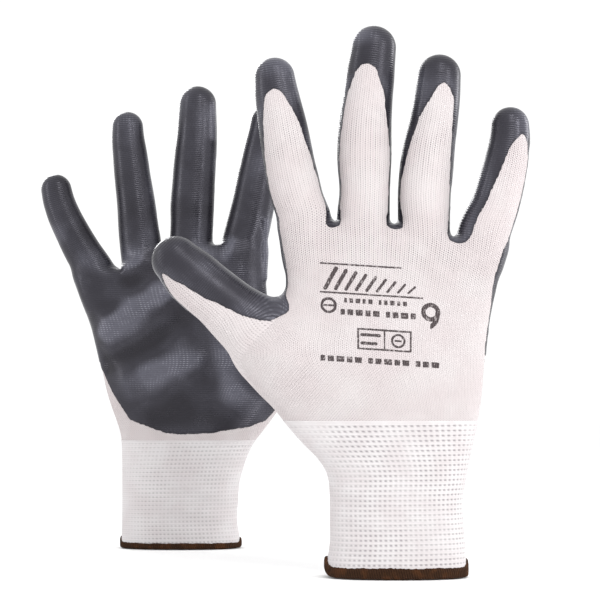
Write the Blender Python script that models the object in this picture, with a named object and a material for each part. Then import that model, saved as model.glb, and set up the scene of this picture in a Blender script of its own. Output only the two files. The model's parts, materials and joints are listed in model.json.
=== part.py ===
"""A pair of seamless knitted work gloves with nitrile-dipped palms, standing on their cuffs.

Both gloves are for the right hand. The front one shows its back (-Y) and the rear one its palm (-Y).
Units are metres, +Z is up along the fingers, and the origin is the bottom centre of the pair's box.
"""

import math

import bmesh
import bpy
from mathutils import Matrix, Vector

# Driving dimensions
WALL = 0.0010  # knitted liner
GAP = 0.0003  # between neighbouring pieces
COAT = 0.0006  # nitrile layer
INK = 0.0003
GLOVE_SPACING = 0.188  # between the two gloves' middle planes
ROW_CENTRE_X = 0.0179  # moves the pair's box onto X = 0
FINGER_SIDES = 12
PALM_SIDES = 20
ROUNDNESS = 2.4  # superellipse power of the cuff and the lower palm
KNUCKLE_ROUNDNESS = 5.0  # and of the palm at the finger roots, where it is squarer
SQUARING_HEIGHTS = (0.100, 0.150)

CUFF_TOP = 0.0600
CAVITY_TOP = 0.150
SOCKET_DEPTH = 0.013  # finger bore below the hinge line
SOCKET_RIM = 0.0030  # from the finger's outer surface to its bore in the palm
COLUMN_HALF_WIDTH = 0.0165  # clearance column above each finger root
THUMB_COLUMN = 0.0195
CLEAR_REACH = 0.030  # how far a clearance cutter runs past the glove
RUN_PAST = 0.004  # how far an inner cutter runs past the ends of what it hollows

FINGER_FLEX = math.radians(65)
THUMB_FLEX = math.radians(50)
THUMB_ROLL = math.radians(55)  # turns the thumb's coated side from the palm's towards the index
FINGER_DEPTH = 0.82  # half thickness over half width
NOTCH_EASE = math.radians(1.5)  # keeps the finger off the palm's notch at full flex

DIP_OVERLAP = 0.001  # how far the coat passes the side line towards the back
DIP_APEX = 0.017  # the coat closes over the back this far below the tip
DIP_RUN = 0.043  # and climbs from the side line over this length
DIP_LOW_Z = 0.0615  # lowest point of the palm's dip line
DIP_SLOPE = 1.6  # rise of the dip line per metre of depth

HEM_HEIGHT = 0.0053
HEM_THICKNESS = 0.0026
ELASTIC_RADIUS = 0.0004
ELASTIC_TURNS = 7
ELASTIC_STEPS = 12
ELASTIC_INSET = 0.0030  # from the cuff's outer surface to the yarn's centre
ELASTIC_ENDS = (0.010, 0.055)

MARK_SIZE = (0.052, 0.040)
MARK_HEIGHT = 0.117
MARK_CORNER = 0.006

# Palm and cuff stations: height, left edge, right edge, half depth.
# Fingers: root, tip, bow, half widths.
FRONT = {
    "prefix": "front",
    "palm_side": 1,
    "cuff": [
        (0.0056, 0.0120, 0.0752, 0.0180),
        (0.0160, 0.0136, 0.0742, 0.0178),
        (0.0370, 0.0136, 0.0738, 0.0176),
        (0.0480, 0.0114, 0.0758, 0.0172),
        (CUFF_TOP - GAP, 0.0013, 0.0782, 0.0162),
    ],
    "palm": [
        (CUFF_TOP, 0.0012, 0.0783, 0.0162),
        (0.0720, -0.0090, 0.0812, 0.0154),
        (0.0880, -0.0135, 0.0828, 0.0154),
        (0.1050, -0.0105, 0.0845, 0.0150),
        (0.1220, -0.0065, 0.0870, 0.0140),
        (0.1380, -0.0062, 0.0910, 0.0126),
        (0.1540, -0.0085, 0.0955, 0.0110),
        (0.1700, -0.0070, 0.0960, 0.0102),
    ],
    "thumb_base": [
        ((-0.0150, 0.1310), (-0.0382, 0.1051), 0.0125),
        ((-0.0073, 0.1236), (-0.0305, 0.0977), 0.0130),
        ((0.0080, 0.1160), (-0.0155, 0.0790), 0.0140),
        ((0.0280, 0.1080), (0.0030, 0.0735), 0.0140),
    ],
    "hem": (0.0105, 0.0765, 0.0193),
    "mark_x": 0.0368,
    "fingers": {
        "index": ((0.0027, 0.1604), (-0.0114, 0.2354), 0.0012, (0.0118, 0.0112, 0.0094)),
        "middle": ((0.0291, 0.1604), (0.0341, 0.2500), 0.0012, (0.0119, 0.0119, 0.0100)),
        "ring": ((0.0573, 0.1586), (0.0636, 0.2368), 0.0010, (0.0118, 0.0115, 0.0096)),
        "little": ((0.0842, 0.1540), (0.0954, 0.2127), -0.0012, (0.0114, 0.0105, 0.0086)),
        "thumb": ((-0.0189, 0.1106), (-0.0668, 0.1468), 0.0, (0.0172, 0.0122, 0.0100)),
    },
}
REAR = {
    "prefix": "rear",
    "palm_side": -1,
    "cuff": [
        (0.0056, -0.0958, -0.0330, 0.0180),
        (0.0160, -0.0960, -0.0343, 0.0178),
        (0.0370, -0.0962, -0.0326, 0.0176),
        (0.0480, -0.0962, -0.0292, 0.0172),
        (CUFF_TOP - GAP, -0.0970, -0.0222, 0.0162),
    ],
    "palm": [
        (CUFF_TOP, -0.0971, -0.0221, 0.0162),
        (0.0720, -0.1012, -0.0130, 0.0154),
        (0.0880, -0.1056, -0.0085, 0.0154),
        (0.1050, -0.1098, -0.0115, 0.0150),
        (0.1220, -0.1142, -0.0155, 0.0140),
        (0.1380, -0.1200, -0.0168, 0.0126),
        (0.1540, -0.1250, -0.0180, 0.0110),
        (0.1700, -0.1260, -0.0205, 0.0102),
    ],
    "thumb_base": [
        ((-0.0088, 0.1314), (0.0144, 0.1055), 0.0125),
        ((-0.0165, 0.1240), (0.0067, 0.0981), 0.0130),
        ((-0.0318, 0.1164), (-0.0083, 0.0794), 0.0140),
        ((-0.0518, 0.1084), (-0.0268, 0.0739), 0.0140),
    ],
    "hem": (-0.0968, -0.0318, 0.0193),
    "mark_x": -0.0620,
    "fingers": {
        "index": ((-0.0308, 0.1620), (-0.0174, 0.2385), 0.0008, (0.0118, 0.0112, 0.0094)),
        "middle": ((-0.0595, 0.1620), (-0.0560, 0.2500), 0.0008, (0.0117, 0.0113, 0.0096)),
        "ring": ((-0.0862, 0.1590), (-0.0941, 0.2360), -0.0008, (0.0112, 0.0104, 0.0088)),
        "little": ((-0.1118, 0.1510), (-0.1332, 0.2017), 0.0008, (0.0112, 0.0102, 0.0084)),
        "thumb": ((-0.0049, 0.1110), (0.0430, 0.1472), 0.0, (0.0172, 0.0122, 0.0100)),
    },
}

MATERIALS = {
    "liner": ((0.85, 0.79, 0.79), 0.9),
    "coating": ((0.070, 0.070, 0.085), 0.32),
    "cuff": ((0.85, 0.80, 0.79), 0.9),
    "elastic": ((0.80, 0.78, 0.76), 0.6),
    "hem": ((0.045, 0.018, 0.006), 0.85),
    "ink": ((0.060, 0.058, 0.062), 0.7),
}


def clear_scene():
    for obj in list(bpy.data.objects):
        bpy.data.objects.remove(obj, do_unlink=True)


def material(kind):
    name = f"glove_{kind}"
    if name in bpy.data.materials:
        return bpy.data.materials[name]
    colour, roughness = MATERIALS[kind]
    made = bpy.data.materials.new(name)
    made.use_nodes = True
    shader = made.node_tree.nodes["Principled BSDF"]
    shader.inputs["Base Color"].default_value = (*colour, 1.0)
    shader.inputs["Roughness"].default_value = roughness
    shader.inputs["Metallic"].default_value = 0.0
    return made


def add_object(name, bm, kind, parent):
    """The bmesh as a smooth-shaded object, in the coordinates of its parent."""
    bmesh.ops.recalc_face_normals(bm, faces=bm.faces)
    mesh = bpy.data.meshes.new(name)
    bm.to_mesh(mesh)
    bm.free()
    mesh.shade_smooth()
    mesh.set_sharp_from_angle(angle=math.radians(40))
    obj = bpy.data.objects.new(name, mesh)
    bpy.context.scene.collection.objects.link(obj)
    obj.parent = parent
    if kind:
        mesh.materials.append(material(kind))
    else:
        obj.hide_render = True
        obj.display_type = "WIRE"
    return obj


def add_empty(name, matrix, parent=None):
    obj = bpy.data.objects.new(name, None)
    obj.empty_display_size = 0.01
    bpy.context.scene.collection.objects.link(obj)
    obj.parent = parent
    obj.matrix_local = matrix
    return obj


def cut(obj, other, operation="DIFFERENCE"):
    modifier = obj.modifiers.new(f"{operation.lower()}_{other.name}", "BOOLEAN")
    modifier.operation = operation
    modifier.solver = "MANIFOLD"  # the thin dipped skin fails with EXACT, and every mesh here is closed
    modifier.object = other


def superellipse(half_width, half_depth, sides, power):
    """Points (across, depth) of a closed oval, starting at +across and turning towards +depth."""
    points = []
    for step in range(sides):
        angle = 2 * math.pi * step / sides
        cosine, sine = math.cos(angle), math.sin(angle)
        across = math.copysign(abs(cosine) ** (2 / power), cosine) * half_width
        depth = math.copysign(abs(sine) ** (2 / power), sine) * half_depth
        points.append((across, depth))
    return points


def add_ring(bm, points):
    return [bm.verts.new(point) for point in points]


def skin(bm, rings, closed_loop=False):
    """Quads between each ring and the next."""
    pairs = list(zip(rings, rings[1:]))
    if closed_loop:
        pairs.append((rings[-1], rings[0]))
    for low, high in pairs:
        count = len(low)
        for i in range(count):
            j = (i + 1) % count
            bm.faces.new((low[i], low[j], high[j], high[i]))


def fan(bm, ring, pole):
    for i, corner in enumerate(ring):
        bm.faces.new((corner, ring[(i + 1) % len(ring)], pole))


def solid_loft(rings_of_points):
    bm = bmesh.new()
    rings = [add_ring(bm, points) for points in rings_of_points]
    skin(bm, rings)
    bm.faces.new(rings[0])
    bm.faces.new(rings[-1])
    return bm


def level_ring(station, grow, side):
    """One horizontal section of the palm or cuff, grown outwards by grow."""
    height, left, right, half_depth = station
    middle = (left + right) / 2
    low, high = SQUARING_HEIGHTS
    share = min(max((height - low) / (high - low), 0), 1)
    power = ROUNDNESS + (KNUCKLE_ROUNDNESS - ROUNDNESS) * share
    oval = superellipse((right - left) / 2 + grow, half_depth + grow, PALM_SIDES, power)
    return [(middle + across, side * depth, height) for across, depth in oval]


def thumb_ring(station, grow, side):
    """One slanting section of the thumb's base, between its crotch edge and its outer edge."""
    crotch, outer, half_depth = station
    span = Vector((outer[0] - crotch[0], 0, outer[1] - crotch[1]))
    middle = Vector((crotch[0], 0, crotch[1])) + span / 2
    oval = superellipse(span.length / 2 + grow, half_depth + grow, PALM_SIDES, ROUNDNESS)
    out = span.normalized()
    return [middle + out * across + Vector((0, side * depth, 0)) for across, depth in oval]


def palm_solid(glove, grow):
    return solid_loft([level_ring(s, grow, glove["palm_side"]) for s in glove["palm"]])


def palm_cavity(glove, grow):
    """The hollow of the palm, from below its mouth up to the flat top between the finger bores."""
    first = glove["palm"][0]
    stations = [(first[0] - RUN_PAST, *first[1:])]
    stations += [s for s in glove["palm"] if s[0] < CAVITY_TOP]
    stations.append((CAVITY_TOP, *between(glove["palm"], CAVITY_TOP)))
    return solid_loft([level_ring(s, grow, glove["palm_side"]) for s in stations])


def palm_inner(glove, grow):
    """A cutter inside a skin of the palm, run a little past both of the palm's ends."""
    first, last = glove["palm"][0], glove["palm"][-1]
    stations = [(first[0] - RUN_PAST, *first[1:]), *glove["palm"], (last[0] + RUN_PAST, *last[1:])]
    return solid_loft([level_ring(s, grow, glove["palm_side"]) for s in stations])


def between(stations, height):
    """Left edge, right edge and half depth at a height, straight between two stations."""
    for low, high in zip(stations, stations[1:]):
        if low[0] <= height <= high[0]:
            share = (height - low[0]) / (high[0] - low[0])
            return [a + (b - a) * share for a, b in zip(low[1:], high[1:])]
    raise ValueError(f"no station spans {height}")


def thumb_base_solid(glove, grow):
    return solid_loft([thumb_ring(s, grow, glove["palm_side"]) for s in glove["thumb_base"]])


def hinge_frame(glove, root, tip):
    """Matrix of a finger's hinge: X along the hinge axis, Y along the finger, Z towards the palm."""
    along = Vector((tip[0] - root[0], 0, tip[1] - root[1]))
    length = along.length
    along.normalize()
    depth = Vector((0, glove["palm_side"], 0))
    axis = along.cross(depth)
    matrix = Matrix((axis, along, depth)).transposed().to_4x4()
    matrix.translation = Vector((root[0], 0, root[1]))
    return matrix, length


def curve_at(share, start, middle, end):
    """Quadratic through start, middle (at half way) and end."""
    control = 2 * middle - (start + end) / 2
    return (1 - share) ** 2 * start + 2 * share * (1 - share) * control + share**2 * end


def finger_rings(length, bow, widths, flex, grow):
    """Sections of a finger from its root to the start of the tip's pole, and the pole."""
    lean = math.tan(flex / 2)
    rings = []
    dome = widths[2] * 1.1
    body = length - dome
    for share in (0, 0.16, 0.55, 0.9):
        along = share * body
        half_width = curve_at(share, *widths) + grow
        half_depth = half_width * FINGER_DEPTH
        ring = []
        for across, depth in superellipse(half_width, half_depth, FINGER_SIDES, 2):
            rise = GAP / 2 + lean * max(depth, 0) if share == 0 else along
            ring.append((across + 4 * bow * share * (1 - share), rise, depth))
        rings.append(ring)
    for degrees in (28, 62):
        angle = math.radians(degrees)
        half_width = (widths[2] + grow) * math.cos(angle)
        along = body + (dome + grow) * math.sin(angle)
        oval = superellipse(half_width, half_width * FINGER_DEPTH, FINGER_SIDES, 2)
        rings.append([(across, along, depth) for across, depth in oval])
    return rings, (0, length + grow, 0)


def finger_liner(name, parent, shape, flex):
    bm = bmesh.new()
    layers = []
    for grow in (-GAP - COAT, -GAP - COAT - WALL):
        points, pole = finger_rings(*shape, flex, grow)
        rings = [add_ring(bm, ring) for ring in points]
        skin(bm, rings)
        fan(bm, rings[-1], bm.verts.new(pole))
        layers.append(rings[0])
    skin(bm, layers)
    return add_object(name, bm, "liner", parent)


def finger_coating(name, parent, shape, flex, roll):
    """A dipped skin: all of the palm side, rising over the sides to cover the tip's back."""
    length, _, widths = shape
    bm = bmesh.new()
    points, pole = finger_rings(*shape, flex, -COAT)
    rings = [add_ring(bm, ring) for ring in points]
    skin(bm, rings)
    fan(bm, rings[-1], bm.verts.new(pole))
    coated = Vector((-math.sin(roll), 0, math.cos(roll)))
    climb_start = Vector((0, length - DIP_APEX - DIP_RUN, 0))
    climb_normal = coated + Vector((0, widths[2] * FINGER_DEPTH / DIP_RUN, 0))
    planes = [(-DIP_OVERLAP * coated, coated), (climb_start, climb_normal)]
    for point, normal in planes:
        everything = bm.verts[:] + bm.edges[:] + bm.faces[:]
        bmesh.ops.bisect_plane(bm, geom=everything, dist=1e-6, plane_co=point, plane_no=normal)
    bare = [
        face
        for face in bm.faces
        if all((face.calc_center_median() - point).dot(normal) < 0 for point, normal in planes)
    ]
    bmesh.ops.delete(bm, geom=bare, context="FACES")
    obj = add_object(name, bm, "coating", parent)
    thicken = obj.modifiers.new("thickness", "SOLIDIFY")
    thicken.thickness = COAT
    thicken.offset = 1
    return obj


def block(corners_low, corners_high):
    bm = bmesh.new()
    bmesh.ops.create_cube(bm, size=1)
    low, high = Vector(corners_low), Vector(corners_high)
    for vert in bm.verts:
        vert.co = Vector(low[i] if vert.co[i] < 0 else high[i] for i in range(3))
    return bm


def clearance_wedge(name, parent, half_width, flex):
    """Cuts the palm back along the hinge line, leaning away on the palm side to let the finger flex."""
    lean = math.tan(flex / 2 + NOTCH_EASE)
    profile = [
        (-GAP / 2, -CLEAR_REACH),
        (CLEAR_REACH, -CLEAR_REACH),
        (CLEAR_REACH, CLEAR_REACH),
        (-GAP / 2 - lean * CLEAR_REACH, CLEAR_REACH),
        (-GAP / 2, 0),
    ]
    ends = [
        [(across, along, depth) for along, depth in profile]
        for across in (-half_width, half_width)
    ]
    return add_object(name, solid_loft(ends), None, parent)


def finger_bore(name, parent, widths):
    half_width = widths[0] - SOCKET_RIM
    half_depth = half_width * FINGER_DEPTH
    oval = superellipse(half_width, half_depth, FINGER_SIDES, 2)
    ends = [
        [(across, along, depth) for across, depth in oval]
        for along in (-SOCKET_DEPTH, CLEAR_REACH)
    ]
    return add_object(name, solid_loft(ends), None, parent)


def add_fingers(glove, base):
    """The five jointed fingers, and the wedge and bore that each needs in the palm."""
    wedges, bores = [], []
    for finger, (root, tip, bow, widths) in glove["fingers"].items():
        is_thumb = finger == "thumb"
        flex = THUMB_FLEX if is_thumb else FINGER_FLEX
        matrix, length = hinge_frame(glove, root, tip)
        name = f"{glove['prefix']}_{finger}"
        hinge = add_empty(f"{name}_hinge", matrix, base)
        shape = (length, bow, widths)
        finger_liner(f"{name}_liner", hinge, shape, flex)
        finger_coating(f"{name}_coating", hinge, shape, flex, THUMB_ROLL if is_thumb else 0)
        column = THUMB_COLUMN if is_thumb else COLUMN_HALF_WIDTH
        wedges.append(clearance_wedge(f"{name}_wedge", hinge, column, flex))
        if not is_thumb:
            bores.append(finger_bore(f"{name}_bore", hinge, widths))
    return wedges, bores


def palm_liner(glove, base, wedges, bores):
    prefix = glove["prefix"]
    outside = -GAP - COAT
    obj = add_object(f"{prefix}_palm_liner", palm_solid(glove, outside), "liner", base)
    thumb = add_object(f"{prefix}_thumb_base", thumb_base_solid(glove, outside), None, base)
    cut(obj, thumb, "UNION")
    cavity = palm_cavity(glove, outside - WALL)
    cut(obj, add_object(f"{prefix}_palm_cavity", cavity, None, base))
    thumb_cavity = thumb_base_solid(glove, outside - WALL)
    cut(obj, add_object(f"{prefix}_thumb_cavity", thumb_cavity, None, base))
    for cutter in wedges + bores:
        cut(obj, cutter)


def palm_coating(glove, base, wedges):
    """The dipped skin of the palm side, bounded by the side line, the dip line and the finger roots."""
    prefix, side = glove["prefix"], glove["palm_side"]
    obj = add_object(f"{prefix}_palm_coating", palm_solid(glove, 0), "coating", base)
    thumb_skin = add_object(f"{prefix}_thumb_skin", thumb_base_solid(glove, 0), None, base)
    cut(obj, thumb_skin, "UNION")
    cut(obj, add_object(f"{prefix}_palm_inner", palm_inner(glove, -COAT), None, base))
    thumb_inner = thumb_base_solid(glove, -COAT)
    cut(obj, add_object(f"{prefix}_thumb_inner", thumb_inner, None, base))
    back_face = -side * DIP_OVERLAP
    far = -side * 0.04
    back = block((-0.2, min(back_face, far), 0.02), (0.2, max(back_face, far), 0.2))
    cut(obj, add_object(f"{prefix}_bare_back", back, None, base))
    depth = glove["palm"][0][3]
    low, high = -0.045, 0.045
    profile = [(low, 0), (high, 0), (high, DIP_LOW_Z + DIP_SLOPE * (depth - high))]
    profile.append((low, DIP_LOW_Z + DIP_SLOPE * (depth - low)))
    ends = [[(x, side * deep, z) for deep, z in profile] for x in (-0.2, 0.2)]
    cut(obj, add_object(f"{prefix}_bare_wrist", solid_loft(ends), None, base))
    for cutter in wedges:
        cut(obj, cutter)


def cuff(glove, base):
    bm = bmesh.new()
    layers = []
    for grow in (-GAP - COAT, -GAP - COAT - WALL):
        rings = [add_ring(bm, level_ring(s, grow, glove["palm_side"])) for s in glove["cuff"]]
        skin(bm, rings)
        layers.append(rings)
    skin(bm, [layers[0][0], layers[1][0]])
    skin(bm, [layers[0][-1], layers[1][-1]])
    add_object(f"{glove['prefix']}_cuff_knit", bm, "cuff", base)


def cuff_elastic(glove, base):
    """One elastic yarn laid in a helix round the inside of the cuff."""
    data = bpy.data.curves.new(f"{glove['prefix']}_cuff_elastic", "CURVE")
    data.dimensions = "3D"
    data.bevel_depth = ELASTIC_RADIUS
    data.bevel_resolution = 0
    data.use_fill_caps = True
    count = ELASTIC_TURNS * ELASTIC_STEPS + 1
    spline = data.splines.new("POLY")
    spline.points.add(count - 1)
    low, high = ELASTIC_ENDS
    for step, point in enumerate(spline.points):
        height = low + (high - low) * step / (count - 1)
        left, right, half_depth = between(glove["cuff"], height)
        angle = 2 * math.pi * step / ELASTIC_STEPS
        across = ((right - left) / 2 - ELASTIC_INSET) * math.cos(angle)
        depth = (half_depth - ELASTIC_INSET) * math.sin(angle)
        point.co = ((left + right) / 2 + across, depth, height, 1)
    data.materials.append(material("elastic"))
    obj = bpy.data.objects.new(data.name, data)
    bpy.context.scene.collection.objects.link(obj)
    obj.parent = base


def hem(glove, base):
    """The overlocked edge: a soft rounded band with a flat foot."""
    left, right, half_depth = glove["hem"]
    middle, half_width = (left + right) / 2, (right - left) / 2
    soft = HEM_THICKNESS * 0.3
    top = HEM_HEIGHT
    section = [
        (soft, 0),
        (0, soft),
        (0, top - soft),
        (soft, top),
        (HEM_THICKNESS - soft, top),
        (HEM_THICKNESS, top - soft),
        (HEM_THICKNESS, soft),
        (HEM_THICKNESS - soft, 0),
    ]
    bm = bmesh.new()
    rings = []
    for inset, height in section:
        oval = superellipse(half_width - inset, half_depth - inset, PALM_SIDES, ROUNDNESS)
        rings.append(add_ring(bm, [(middle + across, depth, height) for across, depth in oval]))
    skin(bm, rings, closed_loop=True)
    add_object(f"{glove['prefix']}_hem_overlock", bm, "hem", base)


def print_mark(glove, base):
    """A plain rounded patch of ink on the back of the hand."""
    prefix, side = glove["prefix"], glove["palm_side"]
    obj = add_object(f"{prefix}_print_mark", palm_solid(glove, -COAT + INK), "ink", base)
    cut(obj, add_object(f"{prefix}_under_mark", palm_inner(glove, -COAT), None, base))
    outline = []
    for corner in range(4):
        sign_x = 1 if corner in (0, 3) else -1
        sign_z = 1 if corner < 2 else -1
        centre_x = glove["mark_x"] + sign_x * (MARK_SIZE[0] / 2 - MARK_CORNER)
        centre_z = MARK_HEIGHT + sign_z * (MARK_SIZE[1] / 2 - MARK_CORNER)
        for step in range(4):
            angle = math.radians(90 * corner + 30 * step)
            across = centre_x + MARK_CORNER * math.cos(angle)
            height = centre_z + MARK_CORNER * math.sin(angle)
            outline.append((across, height))
    ends = [[(x, -side * deep, z) for x, z in outline] for deep in (0.002, 0.040)]
    cut(obj, add_object(f"{prefix}_mark_outline", solid_loft(ends), None, base), "INTERSECT")


def add_glove(glove):
    plane_y = -glove["palm_side"] * GLOVE_SPACING / 2
    base = add_empty(f"{glove['prefix']}_glove", Matrix.Translation((ROW_CENTRE_X, plane_y, 0)))
    wedges, bores = add_fingers(glove, base)
    palm_liner(glove, base, wedges, bores)
    palm_coating(glove, base, wedges)
    cuff(glove, base)
    cuff_elastic(glove, base)
    hem(glove, base)
    print_mark(glove, base)


def main():
    clear_scene()
    for glove in (FRONT, REAR):
        add_glove(glove)


main()
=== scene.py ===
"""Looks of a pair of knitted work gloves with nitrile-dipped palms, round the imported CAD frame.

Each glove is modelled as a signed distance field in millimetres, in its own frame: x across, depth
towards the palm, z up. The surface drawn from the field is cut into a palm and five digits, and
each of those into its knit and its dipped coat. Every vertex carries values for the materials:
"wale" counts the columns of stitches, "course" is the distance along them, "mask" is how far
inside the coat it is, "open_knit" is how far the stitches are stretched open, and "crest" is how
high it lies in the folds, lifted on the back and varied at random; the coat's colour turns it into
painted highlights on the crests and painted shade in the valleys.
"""

import json

import bpy
import numpy as np
import openvdb
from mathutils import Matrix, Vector


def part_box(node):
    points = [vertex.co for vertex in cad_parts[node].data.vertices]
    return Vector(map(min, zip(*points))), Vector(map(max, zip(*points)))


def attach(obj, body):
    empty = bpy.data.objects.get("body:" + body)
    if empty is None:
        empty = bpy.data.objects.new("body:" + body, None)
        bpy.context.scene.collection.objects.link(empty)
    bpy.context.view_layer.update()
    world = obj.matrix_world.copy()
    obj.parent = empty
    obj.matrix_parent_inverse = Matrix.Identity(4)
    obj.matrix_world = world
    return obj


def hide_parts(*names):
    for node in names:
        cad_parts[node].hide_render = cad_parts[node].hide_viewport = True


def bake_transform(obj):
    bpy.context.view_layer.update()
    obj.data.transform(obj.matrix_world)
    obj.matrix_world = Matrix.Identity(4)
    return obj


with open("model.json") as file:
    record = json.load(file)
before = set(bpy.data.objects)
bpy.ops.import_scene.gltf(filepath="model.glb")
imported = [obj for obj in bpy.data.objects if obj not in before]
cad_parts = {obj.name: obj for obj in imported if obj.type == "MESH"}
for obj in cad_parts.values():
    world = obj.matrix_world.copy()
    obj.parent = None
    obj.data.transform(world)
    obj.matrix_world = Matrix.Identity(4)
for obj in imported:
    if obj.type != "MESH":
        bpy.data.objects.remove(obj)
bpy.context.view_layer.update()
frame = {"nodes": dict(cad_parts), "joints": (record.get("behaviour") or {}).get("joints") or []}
JOINTS = {row["name"]: row for row in frame["joints"]}

MM = 0.001
VOXEL = 0.85  # pitch of the grid the surface is first found on
WEB = 4.0  # fillet between fingers and palm
THUMB_WEB = 9.0
CAP_ROUNDING = 7.0
FINGER_DEPTH = 0.84  # half depth over half width
THUMB_PAD = 55.0  # degrees from the palm's direction to the thumb's coated side
KNIT_DEPTH = 1.0
COAT_SOAK = 0.1  # how far the coat reaches into the knit
COAT_EDGE, COAT_DEPTH, COAT_RAMP = 0.10, 0.42, 1.6  # at its edge, added inside, and how far in
FINGER_WALES, THUMB_WALES = 28, 28
HAND_WALES = THUMB_WALES + 4 * FINGER_WALES
COURSE = 1.02  # pitch of the courses
CUFF_POWER = 2.3  # of the superellipse of the cuff's sections
RIB_ROW = 2.2  # pitch of the rows of slots in the cuff
HEM_STITCHES = 150
STITCH_SLANT = 0.22
HEM_HEIGHT = 2.6  # height of the cuff section that the hem is wrapped on
BEND_LENGTH = 22.0  # length along a digit from where its piece starts
ROOT_LIFT = 1.6  # from the hinge line to where a digit's piece starts
FINGERS = ("index", "middle", "ring", "little")

# Palm and cuff sections: height, left edge, right edge.
# Finger stations, from inside the palm to the centre of the tip: x, z, half width.
FRONT = {
    "prefix": "front",
    "palm_side": 1,
    "hem_x": 43.5,
    "rib_top": 69.5,
    "rib_columns": 70,
    "stretch": 1.0,
    "sections": [
        (0.0, 11.6, 75.4), (5.3, 12.2, 75.0), (16.0, 13.6, 74.5), (24.0, 13.6, 73.8),
        (38.0, 13.4, 74.0), (43.0, 13.0, 75.0), (48.6, 11.2, 75.9), (54.0, 7.3, 76.9),
        (59.5, 1.8, 78.2), (65.0, -3.2, 79.5), (70.4, -7.7, 80.7), (76.0, -12.3, 81.6),
        (81.4, -17.3, 82.3), (87.0, -21.8, 82.8), (92.3, -25.2, 83.2), (97.7, -26.0, 83.7),
        (104.0, -22.0, 84.3), (110.0, -15.5, 85.1), (117.0, -10.0, 86.2), (123.6, -7.2, 87.4),
        (130.0, -6.0, 88.8), (136.0, -5.9, 90.2), (141.0, -6.4, 91.7), (146.8, -7.3, 93.4),
        (152.3, -8.2, 95.2), (157.7, -9.2, 96.8), (170.0, -10.0, 98.5),
    ],
    "crotch": [(-12, 162.5), (14.5, 159.6), (43.2, 159.0), (71.4, 152.6), (100, 150.5)],
    "fingers": {
        "index": [
            (4.5, 146.0, 11.3), (1.8, 163.2, 11.5), (-0.2, 168.6, 11.4), (-3.2, 179.5, 11.5),
            (-5.4, 190.4, 11.1), (-7.3, 201.3, 10.7), (-9.3, 212.3, 10.0), (-10.8, 221.5, 9.2),
            (-11.4, 226.8, 8.6),
        ],
        "middle": [
            (28.9, 146.0, 11.4), (28.9, 163.2, 11.5), (29.5, 174.0, 11.1), (29.4, 190.4, 12.0),
            (30.0, 206.8, 11.4), (31.1, 217.7, 10.7), (32.3, 228.6, 10.4), (33.8, 240.4, 9.6),
        ],
        "ring": [
            (56.4, 146.0, 11.4), (56.6, 163.2, 11.5), (56.8, 174.0, 11.7), (57.7, 185.0, 11.7),
            (59.1, 195.9, 11.2), (61.2, 206.8, 10.4), (62.8, 217.7, 9.8), (63.7, 227.6, 9.2),
        ],
        "little": [
            (80.6, 144.0, 11.4), (84.8, 157.7, 11.5), (89.3, 168.6, 10.5), (92.3, 179.5, 10.1),
            (94.7, 190.4, 9.5), (95.9, 199.0, 8.7), (96.0, 204.6, 8.1),
        ],
        "thumb": [
            (-6.0, 101.5, 18.0), (-19.3, 110.9, 17.0), (-24.0, 114.5, 15.4), (-30.0, 119.2, 13.9),
            (-36.2, 124.6, 12.9), (-43.2, 130.3, 12.7), (-50.4, 136.9, 12.3), (-56.5, 143.2, 10.5),
        ],
    },
}
MIRROR_X = -23.8  # x of one glove plus x of the other, at the thumb
REAR = {
    "prefix": "rear",
    "palm_side": -1,
    "hem_x": -64.3,
    "rib_top": 57.0,
    "rib_columns": 78,
    "stretch": 0.6,
    "sections": [
        (0.0, -96.4, -32.2), (5.3, -96.3, -32.8), (16.0, -96.2, -34.2), (22.8, -96.2, -33.7),
        (35.9, -96.2, -32.6), (42.4, -96.2, -31.0), (48.9, -96.3, -28.8), (55.5, -96.5, -25.6),
        (62.0, -97.5, -20.6), (68.5, -99.7, -15.6), (75.0, -102.1, -11.0), (81.6, -104.2, -6.4),
        (88.1, -105.9, -2.2), (94.6, -107.3, 1.4), (99.0, -108.4, 2.2), (104.0, -109.5, -1.8),
        (110.0, -110.9, -8.3), (117.0, -112.6, -13.8), (123.6, -114.8, -16.6),
        (133.8, -118.7, -18.0), (146.8, -123.2, -19.0), (157.0, -126.6, -18.6),
        (170.0, -128.5, -18.0),
    ],
    "crotch": [(-130, 150), (-96.8, 150.2), (-74.5, 163.6), (-44.6, 163.0), (-14, 164)],
    "fingers": {
        "index": [
            (-32.5, 148.0, 11.3), (-31.0, 162.0, 11.5), (-28.4, 172.9, 11.5), (-25.5, 185.9, 11.2),
            (-23.2, 199.0, 10.7), (-20.6, 212.0, 10.2), (-18.2, 224.0, 9.5), (-17.3, 230.8, 9.0),
        ],
        "middle": [
            (-59.8, 148.0, 11.0), (-59.4, 163.0, 11.1), (-58.9, 174.0, 11.1), (-58.5, 187.0, 11.4),
            (-57.8, 199.0, 11.1), (-57.0, 212.0, 10.9), (-56.2, 225.1, 10.3), (-55.8, 240.6, 9.4),
        ],
        "ring": [
            (-84.8, 146.0, 10.9), (-86.6, 162.0, 10.8), (-87.9, 173.0, 10.5), (-89.4, 186.0, 9.9),
            (-91.1, 199.0, 9.4), (-92.7, 212.0, 8.9), (-93.9, 222.0, 8.3), (-94.1, 228.2, 7.8),
        ],
        "little": [
            (-106.5, 140.0, 10.6), (-112.0, 150.0, 10.2), (-118.3, 160.0, 9.5),
            (-124.0, 170.5, 8.8), (-128.4, 179.4, 8.4), (-131.4, 187.5, 8.0), (-132.9, 194.0, 7.7),
        ],
        "thumb": [(MIRROR_X - x, z + 0.3, w) for x, z, w in FRONT["fingers"]["thumb"]],
    },
}

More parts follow.
